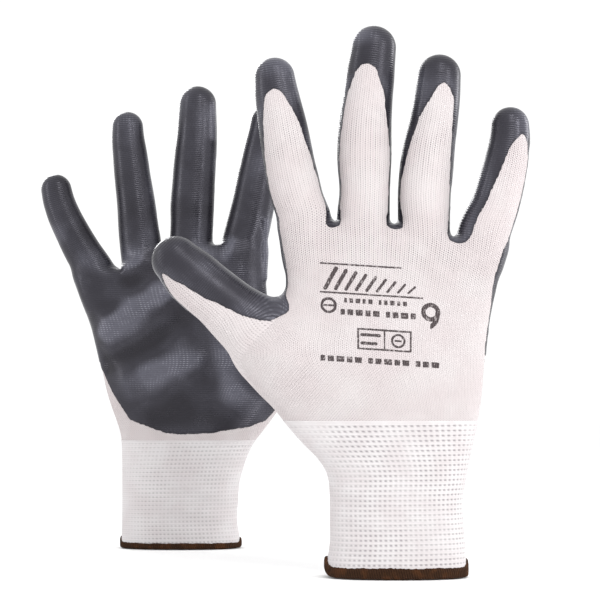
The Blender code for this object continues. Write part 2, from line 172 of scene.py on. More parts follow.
# Half depths of the palm and cuff by height, towards the back and towards the palm.
DEPTHS = [
    (0, 18.6, 18.6), (16, 18.0, 18.0), (40, 17.4, 17.4), (60, 15.8, 16.4), (80, 14.6, 15.8),
    (105, 14.0, 15.2), (122, 13.4, 14.2), (140, 12.0, 12.6), (158, 10.4, 10.6), (172, 9.8, 9.8),
]

# The white tongue on the back of each finger: distance below the tip, and its edges as shares of
# the half width, negative towards the thumb.
TONGUES = {
    "index": [
        (14.9, -0.15, -0.15), (15.1, -0.31, 0.01), (15.9, -0.46, 0.15), (18.1, -0.62, 0.29),
        (23.2, -0.73, 0.49), (29.6, -0.83, 0.69), (39.2, -0.915, 0.79), (48.7, -0.96, 0.915),
        (60, -0.97, 0.955),
    ],
    "middle": [
        (18.4, -0.18, -0.18), (18.7, -0.34, -0.02), (19.4, -0.47, 0.12), (22.3, -0.66, 0.32),
        (31.5, -0.88, 0.67), (41, -0.92, 0.81), (50.6, -0.94, 0.906), (63, -0.965, 0.967),
    ],
    "ring": [
        (13.3, 0.22, 0.22), (13.6, 0.12, 0.32), (15.5, -0.08, 0.51), (18.7, -0.25, 0.70),
        (21.9, -0.38, 0.74), (30.2, -0.68, 0.79), (37.8, -0.74, 0.86), (50.6, -0.87, 0.89),
        (62, -0.96, 0.945),
    ],
    "little": [
        (12.5, 0.60, 0.60), (12.8, 0.50, 0.70), (14.4, 0.30, 0.84), (16.9, 0.07, 0.89),
        (23.3, -0.14, 0.96), (32.9, -0.29, 0.96), (42.5, -0.44, 0.95), (55, -0.50, 0.95),
    ],
}
# Coated share of the turn round the thumb: distance below the tip, half angle in degrees.
THUMB_COAT = [
    (9, 196), (12, 172), (22, 150), (33, 140), (45, 125), (53, 118), (62, 103), (66, 80), (76, 40),
]
# The dip's lower edge on the palm, as seen on the rear glove: x, z.
DIP_LINE = [
    (-125, 118), (-112, 104), (-106.6, 94.6), (-103.3, 88.1), (-100, 81.6), (-95.7, 75),
    (-91.3, 68.8), (-82, 65.2), (-72.3, 62), (-65.2, 60.9), (-47.3, 61.7), (-27.2, 65.2),
    (-18.5, 68.5), (-13.6, 73.9), (-6, 84), (4, 92),
]
# Soft folds in the coated palm: two ends (x, z) as seen on the rear glove, half width, height.
# Their heights also set the coat's colour: painted highlights on the crests, painted shade in the
# valleys.
PALM_FOLDS = [
    ((-107, 116), (-77, 135), 5.5, 1.6),
    ((-106, 98), (-64, 120), 6.0, -1.7),
    ((-93, 90), (-56, 101), 6.5, 1.6),
    ((-92, 73), (-48, 74), 7.0, -1.1),
    ((-112, 124), (-104, 96), 3.5, -0.9),
    ((-108, 142), (-66, 150), 6.0, -0.9),
    ((-46, 118), (-36, 84), 7.0, 1.2),
    ((-74, 136), (-50, 146), 6.0, 1.0),
    # The last four are placed for painted highlights: at finger roots and along the edges of the
    # index finger and the middle fingertip.
    ((-93, 151), (-88, 156), 4.0, 1.2),
    ((-40, 157), (-37, 165), 3.2, 1.3),
    ((-18, 176), (-18, 146), 2.4, 1.3),
    ((-47, 240), (-47, 222), 1.8, 0.9),
]


def smoothstep(low, high, value):
    t = np.clip((value - low) / (high - low), 0.0, 1.0)
    return t * t * (3.0 - 2.0 * t)


def curve_through(stations, at):
    """Smooth curves through each column of the stations, whose first column is the parameter."""
    stations = np.asarray(stations, float)
    xs = stations[:, 0]
    slopes = np.gradient(stations[:, 1:], xs, axis=0)
    at = np.clip(at, xs[0], xs[-1])
    i = np.clip(np.searchsorted(xs, at) - 1, 0, len(xs) - 2)
    step = xs[i + 1] - xs[i]
    t = ((at - xs[i]) / step)[:, None]
    step = step[:, None]
    a, b = stations[i, 1:], stations[i + 1, 1:]
    ma, mb = slopes[i] * step, slopes[i + 1] * step
    t2, t3 = t * t, t * t * t
    near_a, near_b = 2 * t3 - 3 * t2 + 1, 3 * t2 - 2 * t3
    return near_a * a + (t3 - 2 * t2 + t) * ma + near_b * b + (t3 - t2) * mb


def smooth_min(a, b, radius):
    h = np.maximum(radius - np.abs(a - b), 0.0) / radius
    return np.minimum(a, b) - h * h * radius * 0.25


def value_noise(points, scale, seed):
    """Smooth noise from -1 to 1 at the points, with features of the given size in millimetres."""
    q = points / scale
    cell = np.floor(q).astype(np.int64)
    f = q - cell
    f = f * f * (3 - 2 * f)
    total = np.zeros(len(points))
    for corner in range(8):
        bits = np.array([corner & 1, (corner >> 1) & 1, corner >> 2])
        c = cell + bits
        mixed = c[:, 0] * 73856093 ^ c[:, 1] * 19349663 ^ c[:, 2] * 83492791 ^ seed * 2654435761
        mixed = (mixed ^ (mixed >> 13)) * 1274126177 & 0xFFFFFFFF
        weight = np.prod(np.where(bits, f, 1 - f), axis=1)
        total += weight * (mixed / 0xFFFFFFFF * 2 - 1)
    return total


def unit(vectors):
    return vectors / np.linalg.norm(vectors, axis=1)[:, None]


def nearness(distance):
    """Weight of a part's values at a distance from its surface."""
    return np.exp(-np.clip(distance, -6, 30) / 1.2)


def thumb_mask(below_tip, t, d, width, above):
    """Coat of the thumb: a share of the turn round it, and its palm side down to the dip's edge."""
    turn = np.degrees(np.arctan2(t, d))
    spread = np.abs((turn - THUMB_PAD + 180) % 360 - 180)
    allowed = np.interp(below_tip, *np.array(THUMB_COAT, float).T)
    round_thumb = (allowed - spread) * np.pi / 180 * width
    return np.maximum(round_thumb, np.minimum(2.0 * (d - 0.15) * width, above))


def finger_mask(name, below_tip, t, d, width):
    """Coat of a finger: its palm side, and its back outside the white tongue."""
    below, low_edges, high_edges = np.array(TONGUES[name], float).T
    low_edge = np.interp(below_tip, below, low_edges)
    high_edge = np.interp(below_tip, below, high_edges)
    mask = width * np.maximum(t - high_edge, low_edge - t)
    above_tongue = below[0] - below_tip
    mask = np.where(above_tongue > 0, np.maximum(mask, 0) + above_tongue, mask)
    return np.where(d > 0, np.maximum(mask, 1.5 * d * width), mask)


class Limb:
    """A finger or thumb: a curved tube of oval sections round a line in the hand's plane."""

    def __init__(self, name, stations):
        self.name = name
        stations = np.asarray(stations, float)
        run = np.concatenate([[0], np.cumsum(np.hypot(*np.diff(stations[:, :2], axis=0).T))])
        fine = np.linspace(0, run[-1], 33)
        curve = curve_through(np.column_stack([run, stations]), fine)
        self.run = fine
        self.line = curve[:, :2]
        self.width = curve[:, 2]
        self.tip_run = fine[-1] + self.width[-1]
        self.low = self.line.min(0) - self.width.max() - 8
        self.high = self.line.max(0) + self.width.max() + 8

    def near(self, points):
        flat = points[:, [0, 2]]
        return ((flat > self.low) & (flat < self.high)).all(axis=1)

    def coordinates(self, points):
        """Distance to the surface, run along the line, signed share across, and share deep."""
        flat = points[:, [0, 2]]
        a, b = self.line[:-1], self.line[1:]
        ab = b - a
        rel = flat[:, None, :] - a[None]
        t = np.clip((rel * ab).sum(-1) / (ab * ab).sum(-1), 0, 1)
        off = rel - t[..., None] * ab
        best = (off**2).sum(-1).argmin(1)
        rows = np.arange(len(flat))
        t, off, along = t[rows, best], off[rows, best], unit(ab[best])
        across = off[:, 0] * along[:, 1] - off[:, 1] * along[:, 0]
        past = (off * along).sum(1)
        run = self.run[best] + t * (self.run[best + 1] - self.run[best])
        width = np.interp(run, self.run, self.width)
        depth = width * FINGER_DEPTH
        q = np.hypot(off[:, 0], off[:, 1])
        k = np.hypot(q / width, points[:, 1] / depth)
        slope = np.hypot(q / width**2, points[:, 1] / depth**2)
        distance = k * (k - 1) / np.maximum(slope, 1e-6)
        return distance, run + past, across / width, points[:, 1] / depth

    def distance(self, points):
        """Distance to the surface, and 60 where that is well away."""
        out = np.full(len(points), 60.0)
        near = self.near(points)
        out[near] = self.coordinates(points[near])[0]
        return out


class Glove:
    def __init__(self, spec):
        self.spec = spec
        self.prefix = spec["prefix"]
        self.side = spec["palm_side"]
        low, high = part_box(f"{self.prefix}_hem_overlock")
        self.origin_x = (low.x + high.x) / 2 / MM - spec["hem_x"]
        self.plane_y = (low.y + high.y) / 2 / MM
        self.limbs = {name: Limb(name, line) for name, line in spec["fingers"].items()}
        # Wales count from the thumb's side, which is on the left of the front glove.
        self.toward_little = 1 if self.side > 0 else -1

    def to_world(self, points):
        """Row-frame metres from glove millimetres."""
        world = np.empty_like(points)
        world[:, 0] = points[:, 0] + self.origin_x
        world[:, 1] = points[:, 1] * self.side + self.plane_y
        world[:, 2] = points[:, 2]
        return world * MM

    def sections(self, z):
        edges = curve_through(self.spec["sections"], z)
        depths = curve_through(DEPTHS, z)
        return edges[:, 0], edges[:, 1], depths[:, 0], depths[:, 1]

    def palm_distance(self, points):
        x, deep, z = points.T
        left, right, back, palm = self.sections(z)
        power = CUFF_POWER + 1.6 * smoothstep(100, 150, z)
        half = (right - left) / 2
        p = np.abs(x - (left + right) / 2) / half
        h = np.where(deep < 0, back, palm)
        q = np.abs(deep) / h
        k = np.maximum(p**power + q**power, 1e-9) ** (1 / power)
        slope = k ** (1 - power) * np.hypot(p ** (power - 1) / half, q ** (power - 1) / h)
        loft = (k - 1) / np.maximum(slope, 0.02)
        return -smooth_min(-loft, self.crotch_height(x) - z, CAP_ROUNDING)

    def crotch_height(self, x):
        return np.interp(x, *np.array(self.spec["crotch"], float).T)

    def seen_from_palm(self, x):
        """x as it would be on the rear glove, for what is given once for both."""
        return x if self.side < 0 else MIRROR_X - x

    def relief(self, points):
        """Unevenness and folds, as a distance to add to the surface."""
        rib_top = self.spec["rib_top"]
        uneven = 0.16 * value_noise(points, 17.0, 3) + 0.05 * value_noise(points, 7.0, 5)
        return uneven * smoothstep(rib_top, rib_top + 14, points[:, 2]) + self.folds(points)

    def folds(self, points):
        x, deep, z = points.T
        rib_top = self.spec["rib_top"]
        seen = self.seen_from_palm(x)
        palm = smoothstep(0, 6, deep) * smoothstep(rib_top, rib_top + 10, z)
        out = np.zeros(len(points))
        for (x0, z0), (x1, z1), half, height in PALM_FOLDS:
            ax, az = x1 - x0, z1 - z0
            t = np.clip(((seen - x0) * ax + (z - z0) * az) / (ax * ax + az * az), 0, 1)
            away = np.hypot(seen - x0 - t * ax, z - z0 - t * az)
            out += palm * height * np.exp(-((away / half) ** 2))
        return out

    def rough_distance(self, points):
        """The surface before its folds and unevenness."""
        palm = self.palm_distance(points)
        fingers = np.min([self.limbs[name].distance(points) for name in FINGERS], axis=0)
        thumb = self.limbs["thumb"].distance(points)
        return smooth_min(smooth_min(palm, fingers, WEB), thumb, THUMB_WEB)

    def distance(self, points):
        return self.rough_distance(points) - self.relief(points)

    def gradient(self, points, step=0.15):
        out = np.empty_like(points)
        for axis in range(3):
            shift = np.zeros(3)
            shift[axis] = step
            rise = self.distance(points + shift) - self.distance(points - shift)
            out[:, axis] = rise / (2 * step)
        return out

    def patch(self, points, triangles):
        """The mesh with its normals, its triangles facing outward, and the materials' values."""
        normals = unit(self.gradient(points))
        a, b, c = (points[triangles[:, i]] for i in range(3))
        if (np.cross(b - a, c - a) * normals[triangles[:, 0]]).sum() < 0:
            triangles = triangles[:, ::-1]
        values = self.knit(points, normals)
        return {"points": points, "triangles": triangles, "normals": normals, **values}

    def surface(self):
        """The whole hand above the cuff."""
        low = np.array([1e9, -23.0, self.spec["rib_top"] - 8])
        high = np.array([-1e9, 23.0, 0.0])
        for limb in self.limbs.values():
            low[0], high[0] = min(low[0], limb.low[0]), max(high[0], limb.high[0])
            high[2] = max(high[2], limb.high[1])
        counts = np.ceil((high - low) / VOXEL).astype(int) + 1
        axes = [low[i] + VOXEL * np.arange(counts[i]) for i in range(3)]
        grid = np.stack(np.meshgrid(*axes, indexing="ij"), axis=-1).reshape(-1, 3)
        field = np.concatenate([self.rough_distance(part) for part in np.array_split(grid, 24)])
        volume = openvdb.FloatGrid(background=8.0)
        volume.copyFromArray(field.reshape(counts).astype(np.float32))
        points, quads = volume.convertToQuads(isovalue=0.0)
        points = points.astype(float) * VOXEL + low
        for _ in range(3):
            slope = self.gradient(points)
            length2 = np.maximum((slope**2).sum(1), 0.25)
            move = slope * (self.distance(points) / length2)[:, None]
            points -= np.clip(move, -VOXEL, VOXEL)
        # A quad is split along its shorter diagonal.
        quads = quads.astype(np.int64)
        a, b, c, d = (points[quads[:, i]] for i in range(4))
        short = (np.linalg.norm(a - c, axis=1) <= np.linalg.norm(b - d, axis=1))[:, None]
        first = np.where(short, quads[:, [0, 1, 2]], quads[:, [0, 1, 3]])
        second = np.where(short, quads[:, [0, 2, 3]], quads[:, [1, 2, 3]])
        return self.patch(points, np.concatenate([first, second]))

    def knit(self, points, normals):
        """The values for the materials at surface points."""
        x, deep, z = points.T
        left, right, _, _ = self.sections(z)
        half = (right - left) / 2
        across = np.clip((x - (left + right) / 2) / half, -1, 1) * self.toward_little
        share = 0.5 + 0.5 * (0.72 * across + 0.28 * 2 / np.pi * np.arcsin(across))
        start = THUMB_WALES * smoothstep(84, 124, z)
        wale = start + (HAND_WALES - start) * share
        course = z.copy()

        # Coat on the palm part: where the surface turns to the side, and all of the palm's face.
        from_little = half * (1 - across)
        edge_line = 0.2 + 2.2 * np.exp(-(((z - 141) / 17) ** 2))
        turned = 3.5 * (normals[:, 1] + 0.30)
        rim = np.where(z > 100, np.maximum(turned, edge_line - from_little), -3.0)
        seen = self.seen_from_palm(x)
        above = z - np.interp(seen, *np.array(DIP_LINE, float).T)
        palm_mask = np.minimum(np.where(deep > 0, np.maximum(rim, 0.9 * deep), rim), above)

        total = nearness(self.palm_distance(points))
        mask = palm_mask * total
        for name, limb in self.limbs.items():
            near = limb.near(points)
            distance, run, t, d = limb.coordinates(points[near])
            t = np.clip(t * self.toward_little, -1, 1)
            width = np.interp(run, limb.run, limb.width)
            root_flat = self.root_of(name)[0]
            root_run = limb.run[((limb.line - root_flat) ** 2).sum(1).argmin()]
            limb_share = 0.5 + 0.5 * (0.25 * t + 0.75 * 2 / np.pi * np.arcsin(t))
            if name == "thumb":
                limb_wale = THUMB_WALES * limb_share
                blend_end = root_run + 16
                limb_mask = thumb_mask(limb.tip_run - run, t, d, width, above[near])
            else:
                limb_wale = THUMB_WALES + FINGER_WALES * (FINGERS.index(name) + limb_share)
                blend_end = root_run + 14
                limb_mask = finger_mask(name, limb.tip_run - run, t, d, width)
            weight = smoothstep(root_run - 16, blend_end, run) * smoothstep(6.0, 1.5, distance)
            wale[near] += weight * (limb_wale - wale[near])
            limb_course = run - root_run + root_flat[1]
            course[near] += weight * (limb_course - course[near])
            pull = nearness(distance)
            mask[near] += limb_mask * pull
            total[near] += pull
        mask /= total
        # The coat comes round to the back in a small patch at the foot of each gap between fingers.
        amount, half_width, reach_up, reach_down = 3.4, 3.5, 6.0, 2.8
        for at_x, at_z in self.spec["crotch"][1:4]:
            rise = z - at_z
            reach = np.where(rise > 0, reach_up, reach_down)
            mask += amount * np.exp(-(((x - at_x) / half_width) ** 2) - (rise / reach) ** 2)
        ragged = 0.22 * np.cos(2 * np.pi * wale) + 0.45 * value_noise(points, 2.2, 11)
        mask = mask + ragged * smoothstep(0, 3, np.abs(mask) + 1.5)
        # The stitches are stretched open at the finger roots and over the middle joints.
        at_roots = np.exp(-(((z - self.crotch_height(x) + 8) / 15) ** 2))
        at_knuckles = np.exp(-(((course - 195) / 14) ** 2))
        uneven = 0.5 + 0.5 * value_noise(points, 21.0, 7)
        open_knit = np.clip(0.20 + 0.35 * uneven + 0.6 * at_roots + 0.5 * at_knuckles, 0, 1)
        # Painted light for the coat: crest follows the fold heights and is lifted on the back, so
        # the coat is painted lighter there as a highlight and darker in the valleys as shade; the
        # noise adds random patches.
        painted_fold_light = 0.5 + 0.30 * self.folds(points) + 0.35 * value_noise(points, 13.0, 9)
        painted_fold_light = np.clip(painted_fold_light + 0.10 * smoothstep(2.0, -2.0, deep), 0, 1)
        values = {"wale": wale, "course": course, "mask": mask}
        return values | {"open_knit": open_knit, "painted_fold_light": painted_fold_light}

    def tip_point(self, name):
        """The centre of a digit's tip, in the row frame."""
        x, z = self.limbs[name].line[-1]
        return Vector(self.to_world(np.array([[x, 0.0, z]]))[0])

    def root_of(self, name):
        """A digit's hinge point in the hand's plane, and the direction along the digit from it."""
        pivot, along = joint_line(self.prefix, name, self.tip_point(name))
        return np.array([pivot.x / MM - self.origin_x, pivot.z / MM]), np.array([along.x, along.z])

    def roots(self, points):
        """For each digit, how far the points are past the plane where it starts, in millimetres."""
        out = {}
        for name, limb in self.limbs.items():
            at, along = self.root_of(name)
            past = (points[:, [0, 2]] - at) @ along - ROOT_LIFT
            out[name] = np.where(limb.distance(points) < 5.5, past, -30.0)
        return out


def clip(part, field):
    """The part of a mesh where the field is above zero, with new points where it crosses."""
    triangles = part["triangles"]
    inside = field > 0
    count = inside[triangles].sum(1)
    cut = triangles[(count == 1) | (count == 2)]
    flags = inside[cut]
    lone_inside = flags.sum(1) == 1
    odd = np.where(lone_inside, flags.argmax(1), (~flags).argmax(1))
    rows = np.arange(len(cut))
    a, b, c = (cut[rows, (odd + turn) % 3] for turn in range(3))
    ends = np.sort(np.concatenate([np.stack([a, b], 1), np.stack([a, c], 1)]), axis=1)
    ends, where = np.unique(ends, axis=0, return_inverse=True)
    where = where.reshape(-1) + len(field)
    ab, ac = where[: len(cut)], where[len(cut) :]
    low, high = field[ends[:, 0]], field[ends[:, 1]]
    share = np.clip(low / (low - high), 0.03, 0.97)
    keep = [
        triangles[count == 3],
        np.stack([a, ab, ac], 1)[lone_inside],
        np.stack([ab, b, c], 1)[~lone_inside],
        np.stack([ab, c, ac], 1)[~lone_inside],
    ]
    kept = np.concatenate(keep)
    used, renumbered = np.unique(kept, return_inverse=True)
    out = {"triangles": renumbered.reshape(-1, 3)}
    for name, values in part.items():
        if name == "triangles":
            continue
        s = share if values.ndim == 1 else share[:, None]
        crossed = values[ends[:, 0]] * (1 - s) + values[ends[:, 1]] * s
        out[name] = np.concatenate([values, crossed])[used]
    out["normals"] = unit(out["normals"])
    return out


def open_edges(triangles):
    """Edges that only one triangle has, in that triangle's direction."""
    ends = np.concatenate([triangles[:, [0, 1]], triangles[:, [1, 2]], triangles[:, [2, 0]]])
    key = np.sort(ends, axis=1)
    _, where, count = np.unique(key, axis=0, return_inverse=True, return_counts=True)
    return ends[count[where.reshape(-1)] == 1]


def shell(part, outward, inward):
    """The part as a closed skin, from inward below its surface to outward above it."""
    points, normals, triangles = part["points"], part["normals"], part["triangles"]
    n = len(points)
    rim = open_edges(triangles)
    a, b = rim.T
    out = {key: np.concatenate([v, v]) for key, v in part.items() if key != "triangles"}
    outward = np.broadcast_to(outward, n)[:, None]
    out["points"] = np.concatenate([points + normals * outward, points - normals * inward])
    out["normals"] = np.concatenate([normals, -normals])
    sides = [np.stack([b, a, a + n], 1), np.stack([b, a + n, b + n], 1)]
    out["triangles"] = np.concatenate([triangles, triangles[:, ::-1] + n, *sides])
    return out


def add_mesh(name, points, faces, material, attributes, normals=None):
    mesh = bpy.data.meshes.new(name)
    mesh.from_pydata(points.tolist(), [], faces.tolist())
    mesh.shade_smooth()
    for attribute, values in attributes.items():
        layer = mesh.attributes.new(attribute, "FLOAT", "POINT")
        layer.data.foreach_set("value", np.ascontiguousarray(values, np.float32))
    if normals is not None:
        mesh.normals_split_custom_set_from_vertices(normals.tolist())
    mesh.materials.append(material)
    piece = bpy.data.objects.new(name, mesh)
    bpy.context.scene.collection.objects.link(piece)
    return piece


def add_part(name, glove, part, material, nodes):
    """A piece from a part in glove millimetres, standing for CAD nodes."""
    normals = part["normals"] * np.array([1.0, glove.side, 1.0])
    faces = part["triangles"] if glove.side > 0 else part["triangles"][:, ::-1]
    attributes = {key: part[key] for key in ("wale", "course", "open_knit", "mask", "painted_fold_light")}
    piece = add_mesh(name, glove.to_world(part["points"]), faces, material, attributes, normals)
    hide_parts(*nodes)
    return piece


def joint_line(prefix, name, tip):
    """A digit's hinge point and the unit direction from it along the digit."""
    row = JOINTS[f"{prefix}_{name}_flex"]
    pivot = Vector(row["pos_m"])
    axis = Vector(row["axis"])
    along = Vector((-axis.z, 0, axis.x)).normalized()
    return pivot, along if along.dot(tip - pivot) > 0 else -along


def coat_height(part):
    return COAT_EDGE + COAT_DEPTH * smoothstep(0, COAT_RAMP, part["mask"])


def add_layers(glove, name, part):
    """The knit and the coat of the palm or of a digit."""
    liner, coating = [f"{name}_liner"], [f"{name}_coating"]
    knit_skin = shell(part, 0, KNIT_DEPTH)
    knit = add_part(f"{name}_knit", glove, knit_skin, KNIT, liner)
    dip = clip(part, part["mask"])
    dip_skin = shell(dip, coat_height(dip), COAT_SOAK)
    coat = add_part(f"{name}_dip", glove, dip_skin, DIP, coating)
    return knit, coat


def add_hand(glove):
    whole = glove.surface()
    prefix = glove.prefix
    hand = f"{prefix}_hand"
    roots = glove.roots(whole["points"])
    for name, field in roots.items():
        digit = clip(whole, field)
        pivot, along = joint_line(prefix, name, glove.tip_point(name))
        start = pivot + along * (ROOT_LIFT * MM)
        end = start + along * (BEND_LENGTH * MM)
        body = f"{prefix}_{name}"
        for piece in add_layers(glove, body, digit):
            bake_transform(piece)
    rest = np.max(list(roots.values()), axis=0)
    palm = clip(whole, -rest)
    palm = clip(palm, palm["points"][:, 2] - glove.spec["rib_top"])
    for piece in add_layers(glove, f"{prefix}_palm", palm):
        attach(piece, hand)


def ring_sections(glove, heights, count, offset):
    """Rings round the cuff at the heights, their points evenly spaced and moved outward."""
    rings = []
    fine = np.linspace(0, 2 * np.pi, 1441)
    power = 2 / CUFF_POWER
    for z, move in zip(heights, offset):
        left, right, back, palm = (v[0] for v in glove.sections(np.array([z])))
        cos, sin = -np.cos(fine) * glove.toward_little, -np.sin(fine)
        x = (left + right) / 2 + (right - left) / 2 * np.sign(cos) * np.abs(cos) ** power
        h = np.where(sin < 0, back, palm)
        deep = h * np.sign(sin) * np.abs(sin) ** power
        run = np.concatenate([[0], np.cumsum(np.hypot(np.diff(x), np.diff(deep)))])
        at = np.linspace(0, run[-1], count, endpoint=False)
        flat = np.stack([np.interp(at, run, x), np.interp(at, run, deep)], 1)
        tangent = unit(np.roll(flat, -1, axis=0) - np.roll(flat, 1, axis=0))
        outward = np.stack([-tangent[:, 1], tangent[:, 0]], 1)
        outward *= np.sign((outward * (flat - [(left + right) / 2, 0])).sum(1).mean())
        flat += outward * np.broadcast_to(move, count)[:, None]
        rings.append(np.column_stack([flat, np.full(count, z)]))
    return np.array(rings)


def closed_rings(rings):
    """Quads of a tube of rings that closes on itself both ways."""
    rows, count = rings.shape[:2]
    i, j = np.meshgrid(np.arange(rows), np.arange(count), indexing="ij")
    i2, j2 = (i + 1) % rows, (j + 1) % count
    quads = np.stack([i * count + j, i2 * count + j, i2 * count + j2, i * count + j2], -1)
    return quads.reshape(-1, 4)


def outward_faces(points, faces):
    """The quads turned so that the closed mesh holds a positive volume."""
    a, b, c, d = (points[faces[:, i]] for i in range(4))
    volume = (np.cross(a, b) * c).sum() + (np.cross(a, c) * d).sum()
    return faces if volume > 0 else faces[:, ::-1]


def stands_for(piece, glove, node):
    """A piece of the hand's body in place of one of its CAD nodes."""
    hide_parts(f"{glove.prefix}_{node}")
    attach(piece, f"{glove.prefix}_hand")


def add_cuff(glove):
    """The open rib: a tube with rows of slots between thick yarns, and an even inner face."""
    top = glove.spec["rib_top"]
    columns = glove.spec["rib_columns"]
    per_column, inner_rows = 4, 14
    rows, count = round(top * 3.2), columns * per_column
    heights = np.linspace(2.4, top + 0.8, rows)
    column = (np.arange(count) + 0.5) / per_column
    row_phase = (top - heights)[:, None] / RIB_ROW + 0.012 * column[None, :]
    slot_across = smoothstep(0.10, 0.80, 0.5 + 0.5 * np.cos(2 * np.pi * column))
    slot_down = smoothstep(0.45, 1.0, 0.5 + 0.5 * np.cos(2 * np.pi * row_phase))
    below_top = smoothstep(top + 0.2, top - 1.2, heights)[:, None]
    # The rib is stretched open over most of each face, and closed towards the two sides.
    share = column / columns * 2 % 1
    opened = smoothstep(0.06, 0.36, share) * (1 - 0.6 * smoothstep(0.85, 1.0, share))
    pit = slot_across * (0.25 + 0.75 * opened) * slot_down * below_top * glove.spec["stretch"]
    outer = ring_sections(glove, heights, count, 0.14 - 0.42 * pit)
    inner_heights = np.linspace(top + 0.6, 2.6, inner_rows)
    inner = ring_sections(glove, inner_heights, count, np.full(inner_rows, -KNIT_DEPTH))
    rings = np.concatenate([outer, inner])
    points = rings.reshape(-1, 3).copy()
    x, deep, z = points.T
    folds = 0.35 * value_noise(points, 15.0, 21)
    folds += 0.60 * np.sin(z * 0.55 + x * 0.11) * value_noise(points, 26.0, 23)
    between_ends = smoothstep(2, 12, z) * smoothstep(top, top - 12, z)
    points[:, 1] += folds * between_ends * np.sign(deep)
    world = glove.to_world(points)
    attributes = {
        "wale": np.tile(column, rows + inner_rows),
        "course": points[:, 2],
        "pit": np.concatenate([pit, np.zeros((inner_rows, count))]).ravel(),
    }
    faces = outward_faces(world, closed_rings(rings))
    piece = add_mesh(f"{glove.prefix}_cuff_rib", world, faces, RIB, attributes)
    stands_for(piece, glove, "cuff_knit")


def hem_rise(glove, along):
    """How the band's height changes round the cuff: it rises at the two sides."""
    thumb_side = np.exp(-((np.minimum(along, 1 - along) / 0.020) ** 2))
    little_side = np.exp(-(((along - 0.5) / 0.022) ** 2))
    middle, at_thumb, at_little = (0.98, 0.35, 0.62) if glove.side > 0 else (0.62, 0.45, 0.60)
    return middle + at_thumb * thumb_side + at_little * little_side


def add_hem(glove):
    """The overlocked edge: a band wrapped round the cuff's end, with slanted stitches in relief."""
    count, round_steps = 620, 26
    round_cuff = 400.0  # span of the noise along the band
    bottom = 0.05
    low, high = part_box(f"{glove.prefix}_hem_overlock")
    tall = (high.z - low.z) / MM
    along = np.arange(count) / count
    on_band = np.stack([along * round_cuff, along * 0, along * 0], 1)
    uneven = 0.93 + 0.05 * value_noise(on_band, 9.0, 31) + 0.04 * value_noise(on_band, 1.9, 33)
    top = tall * uneven * hem_rise(glove, along)
    thumb_end = np.exp(-((np.minimum(along, 1 - along) / 0.035) ** 2))
    lift = 2.4 * thumb_end if glove.side > 0 else 0 * along
    base = ring_sections(glove, [HEM_HEIGHT], count, [0.0])[0]
    grow = ring_sections(glove, [HEM_HEIGHT], count, [1.0])[0] - base
    rings = []
    for step in range(round_steps):
        angle = 2 * np.pi * step / round_steps
        side, up = np.cos(angle), np.sin(angle)
        bulge = np.sign(side) * abs(side) ** 0.6 * 1.15
        height = 0.5 + 0.5 * np.sign(up) * abs(up) ** 0.7
        z = bottom + lift + (top - bottom) * height
        fuzz = value_noise(np.stack([along * round_cuff, z, along * 0 + angle], 1), 1.3, 35)
        stitch = 0.16 * np.cos(2 * np.pi * (along * HEM_STITCHES + z * STITCH_SLANT)) + 0.07 * fuzz
        out = -0.25 + bulge + stitch * (0.4 + 0.6 * abs(side))
        ring = base + grow * out[:, None]
        ring[:, 2] = z
        rings.append(ring)
    rings = np.array(rings)
    points = rings.reshape(-1, 3)
    world = glove.to_world(points)
    attributes = {"wale": np.tile(along * HEM_STITCHES, round_steps), "course": points[:, 2]}
    faces = outward_faces(world, closed_rings(rings))
    piece = add_mesh(f"{glove.prefix}_hem", world, faces, HEM, attributes)
    stands_for(piece, glove, "hem_overlock")


def box_shape(u, w, x0, w0, x1, w1):
    """Signed field of an upright rectangle, positive inside, in millimetres."""
    return np.minimum(np.minimum(u - x0, x1 - u), np.minimum(w - w0, w1 - w))


def bar_shape(u, w, start, end, half):
    ax, aw = end[0] - start[0], end[1] - start[1]
    t = np.clip(((u - start[0]) * ax + (w - start[1]) * aw) / (ax * ax + aw * aw), 0, 1)
    return half - np.hypot(u - start[0] - t * ax, w - start[1] - t * aw)


def ring_shape(u, w, x, y, radius, half):
    return half - np.abs(np.hypot(u - x, w - y) - radius)


